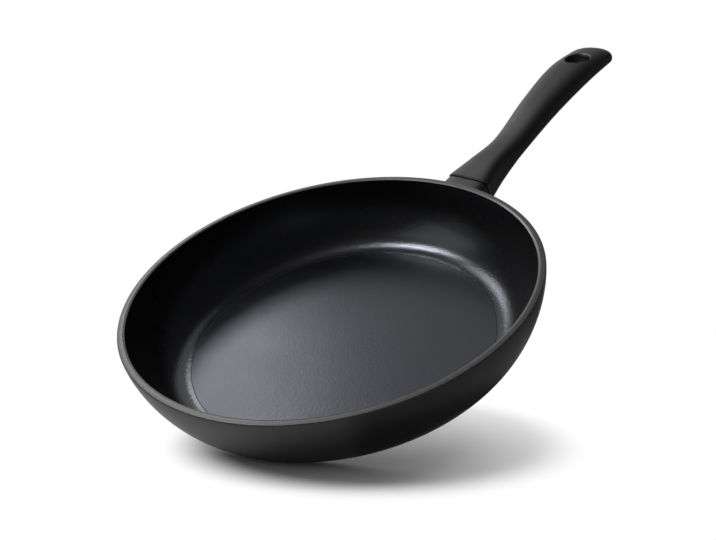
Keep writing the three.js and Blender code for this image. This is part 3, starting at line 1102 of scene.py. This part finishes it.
@dataclass
class Studio:
    """A white floor whose shadow fades into painted white light, soft lamps, painted reflections (dark
    cards and sheets that only the gloss shows), and a pale surround.
    """

    camera: PhotoCamera
    pan: PanBody
    floor_pitch: float = math.radians(2.9)
    floor_radius: float = 40.0
    floor_sides: int = 64
    floor_white: float = 0.9
    # The real shadow stays on the paper within fade_from of its middle; from there to fade_to it fades
    # into painted white light, which trims its outer part
    shade_middle: Point = (21 * MM, -36 * MM)
    fade_from: float = 0.098
    fade_to: float = 0.137
    surround_light: float = 0.31
    card_radius: float = 3.5
    card_steps: int = 48
    card_arc_steps: int = 16
    ceiling_tone: float = 0.07
    screen_tone: float = 0.1
    front_cloth_from: float = 0.19
    # The sheet nearest the pan is painted shade: a dark sheet that only reflections show, standing in
    # for the floor's shadow beside the pan
    near_cloth_from: float = 0.1
    near_cloth_to: float = 0.15
    pale_cloth_to: float = 0.5
    painted_shadow_tone: float = 0.04
    pale_tone: float = 0.3
    side_cloth_from: float = 0.3
    cloth_lift: float = 1 * MM
    ceiling_from: float = 12.0
    screen_below: float = -40.0
    screen_from: float = -170.0
    screen_to: float = 52.0
    near_cloth_start: float = -85.0
    near_cloth_end: float = 25.0

    def toward(self, heading: float, elevation: float) -> Vector:
        """A direction in the pan's frame, from degrees in the photograph's frame."""
        level = Matrix.Rotation(math.radians(heading) - self.camera.handle_heading, 3, "Z")
        return level @ Matrix.Rotation(-math.radians(elevation), 3, "Y") @ Vector((1, 0, 0))

    @staticmethod
    def seen(graph: Graph) -> NodeSocket:
        """1 for camera, glossy and transmission rays.

        Args:
            graph: The tree that asks.

        Returns:
            The mask's socket.
        """
        path = graph.add("LightPath")
        glossy = graph.math("MAXIMUM", path.outputs["Is Camera Ray"], path.outputs["Is Glossy Ray"])
        return graph.math("MAXIMUM", glossy, path.outputs["Is Transmission Ray"])

    def floor_material(self) -> Material:
        """Paper with the pan's shadow, faded near its edge into painted white light; plain white far
        off, open from below.

        Returns:
            The material.
        """
        material = bpy.data.materials.new("white_paper")
        material.use_nodes = True
        graph = Graph(material.node_tree)
        paper = graph.add("BsdfDiffuse")
        paper.inputs["Color"].default_value = (*[self.floor_white] * 3, 1.0)
        glow = graph.add("Emission")
        offset = graph.add("VectorMath", operation="SUBTRACT")
        offset.inputs[1].default_value = self.shade_centre()
        graph.join(graph.add("TexCoord").outputs["Object"], offset.inputs[0])
        distance = graph.add("VectorMath", operation="LENGTH")
        graph.join(offset.outputs[0], distance.inputs[0])
        # Painted light: between fade_from and fade_to from the shadow's middle the paper gives way to
        # the white glow, painting over the outer part of the real shadow
        away = graph.between(distance.outputs["Value"], 0.0, 1.0, start=self.fade_from,
                             stop=self.fade_to, smooth=True)
        blend = graph.add("MixShader")
        graph.join(graph.math("MULTIPLY", away, self.seen(graph)), blend.inputs[0])
        graph.join(paper.outputs[0], blend.inputs[1])
        graph.join(glow.outputs[0], blend.inputs[2])
        below = graph.add("MixShader")
        graph.join(graph.add("NewGeometry").outputs["Backfacing"], below.inputs[0])
        graph.join(blend.outputs[0], below.inputs[1])
        graph.join(graph.add("BsdfTransparent").outputs[0], below.inputs[2])
        graph.join(below.outputs[0], graph.add("OutputMaterial").inputs["Surface"])
        return material

    def floor_plane(self) -> tuple[Vector, float]:
        """The floor's plane.

        Returns:
            Its normal, and its distance from the origin along it.
        """
        _, up, forward = self.camera.axes()
        normal = (math.cos(self.floor_pitch) * up - math.sin(self.floor_pitch) * forward).normalized()
        lean = math.hypot(normal.x, normal.y)
        side = self.pan.outer_side()
        return normal, min(height * normal.z - radius * lean for radius, height in side)

    def shade_centre(self) -> Vector:
        """Where on the floor the pan's shadow is centred: the middle of the ring where it fades into
        painted white light.

        Returns:
            The point.
        """
        normal, drop = self.floor_plane()
        right = self.camera.axes()[0]
        across = (right - normal * right.dot(normal)).normalized()
        ahead = normal.cross(across)
        return normal * drop + across * self.shade_middle[0] + ahead * self.shade_middle[1]

    def floor(self) -> Object:
        """The floor, level to the photographer, touching the tipped pan's lowest point.

        Returns:
            The floor.
        """
        normal, drop = self.floor_plane()
        shape = bmesh.new()
        bmesh.ops.create_circle(shape, cap_ends=True, segments=self.floor_sides,
                                radius=self.floor_radius)
        turn = Vector((0, 0, 1)).rotation_difference(normal).to_matrix().to_4x4()
        place = Matrix.Translation(normal * drop) @ turn
        bmesh.ops.transform(shape, matrix=place, verts=shape.verts)
        floor = to_object(shape, "floor")
        floor.data.materials.append(self.floor_material())
        return floor

    def card(self, name: str, wire: Iterable[Vector], axis: Vector, start: float, end: float,
             tone: float) -> Object:
        """A dark card that only reflections show: a wire swept about an axis through the pan.

        Args:
            name: Its name.
            wire: Its section, in the vertical plane through the handle.
            axis: The axis.
            start: The heading that it starts at.
            end: The heading that it ends at.
            tone: How bright it is.

        Returns:
            The card.
        """
        shape = bmesh.new()
        turn = Matrix.Rotation(math.radians(start) - self.camera.handle_heading, 3, axis)
        points = [shape.verts.new(turn @ point) for point in wire]
        edges = [shape.edges.new(pair) for pair in zip(points, points[1:])]
        bmesh.ops.spin(shape, geom=points + edges, cent=(0, 0, 0), axis=axis,
                       angle=math.radians(end - start), steps=self.card_steps)
        card = to_object(shape, name)
        material = bpy.data.materials.new(name)
        material.use_nodes = True
        graph = Graph(material.node_tree)
        glow = graph.add("Emission")
        glow.inputs["Color"].default_value = (tone, tone, tone, 1.0)
        graph.join(glow.outputs[0], graph.add("OutputMaterial").inputs["Surface"])
        card.data.materials.append(material)
        for kind in ("camera", "diffuse", "transmission", "volume_scatter", "shadow"):
            setattr(card, "visible_" + kind, False)
        return card

    def cards(self) -> None:
        """Painted reflections: a dark ceiling, a screen low in front, and sheets just above the floor
        there, seen only in the gloss.
        """
        up = Vector((0, 0, 1))

        def upright(low: float, high: float) -> list[Vector]:
            """An upright arc between two elevations."""
            points = arc((0.0, 0.0), self.card_radius, low, high, self.card_arc_steps)
            return [Vector((x, 0, z)) for x, z in points]

        self.card("ceiling_card", upright(self.ceiling_from, 90), up, -180, 180, self.ceiling_tone)
        screen = upright(self.screen_below, self.ceiling_from)
        self.card("front_card", screen, up, self.screen_from, self.screen_to, self.screen_tone)
        normal, drop = self.floor_plane()
        outward = (Vector((1, 0, 0)) - normal * normal.x).normalized()
        middle = normal * (drop + self.cloth_lift)
        left = (self.screen_from, self.near_cloth_start)
        front = (self.near_cloth_start, self.near_cloth_end)
        right = (self.near_cloth_end, self.screen_to)
        # Sheets that only reflections show, glowing at set tones: painted reflections of the floor round
        # the pan
        cloths = (
            ("front_cloth", left, self.front_cloth_from, self.card_radius, self.screen_tone),
            # Painted shade: the dark sheet near the pan stands in for the floor's shadow in reflections
            ("painted_shadow_sheet", front, self.near_cloth_from, self.near_cloth_to, self.painted_shadow_tone),
            ("pale_cloth", front, self.near_cloth_to, self.pale_cloth_to, self.pale_tone),
            ("far_cloth", front, self.pale_cloth_to, self.card_radius, self.screen_tone),
            ("side_cloth", right, self.side_cloth_from, self.card_radius, self.screen_tone),
        )
        for name, (start, end), near, far, tone in cloths:
            wire = [middle + outward * near, middle + outward * far]
            self.card(name, wire, normal, start, end, tone)

    def surround(self) -> None:
        """A white surround to the eye, which gives the pan only a little light."""
        world = bpy.data.worlds.new("surround")
        bpy.context.scene.world = world
        world.use_nodes = True
        graph = Graph(world.node_tree)
        background = graph.add("Background")
        background.inputs["Color"].default_value = (1.0, 1.0, 1.0, 1.0)
        strength = graph.between(self.seen(graph), self.surround_light, 1.0)
        graph.join(strength, background.inputs["Strength"])
        graph.join(background.outputs[0], graph.add("OutputWorld").inputs["Surface"])

    def build(self) -> None:
        """Sets the stage."""
        self.floor()
        self.cards()
        for lamp in SOFTBOXES:
            lamp.build(self.toward)
        self.surround()
        bpy.context.scene.view_settings.view_transform = "Standard"


def main() -> None:
    """Builds the pan around its frame, dresses it and sets the stage."""
    logging.basicConfig(level=logging.INFO, format="%(name)s: %(message)s")
    effects = Effects()
    pan = PanBody.from_frame()
    disc = InductionDisc.from_frame()
    grip = HandleForm(rim_radius=pan.rim_radius, pan_height=pan.height)
    guard = FlameGuard(handle=grip, pan=pan)
    aluminium = BARE_ALUMINIUM.material(effects)
    steel = FASTENER_STEEL.material(effects)

    pan.dress(pan.build(disc), effects, aluminium)
    for part in (disc, grip, guard):
        part.dress(part.build(), effects)

    inner_nodes = {
        "handle_stud": aluminium,
        "handle_screw": steel,
        "flat_washer": steel,
        "spring_washer": steel,
    }
    for name, material in inner_nodes.items():
        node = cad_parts[name]
        node.data.materials.clear()
        node.data.materials.append(material)
        LOG.info("%s keeps its own shape", name)

    camera = PhotoCamera(pan_height=pan.height)
    camera.build()
    Studio(camera=camera, pan=pan).build()


if __name__ == "__main__":
    main()
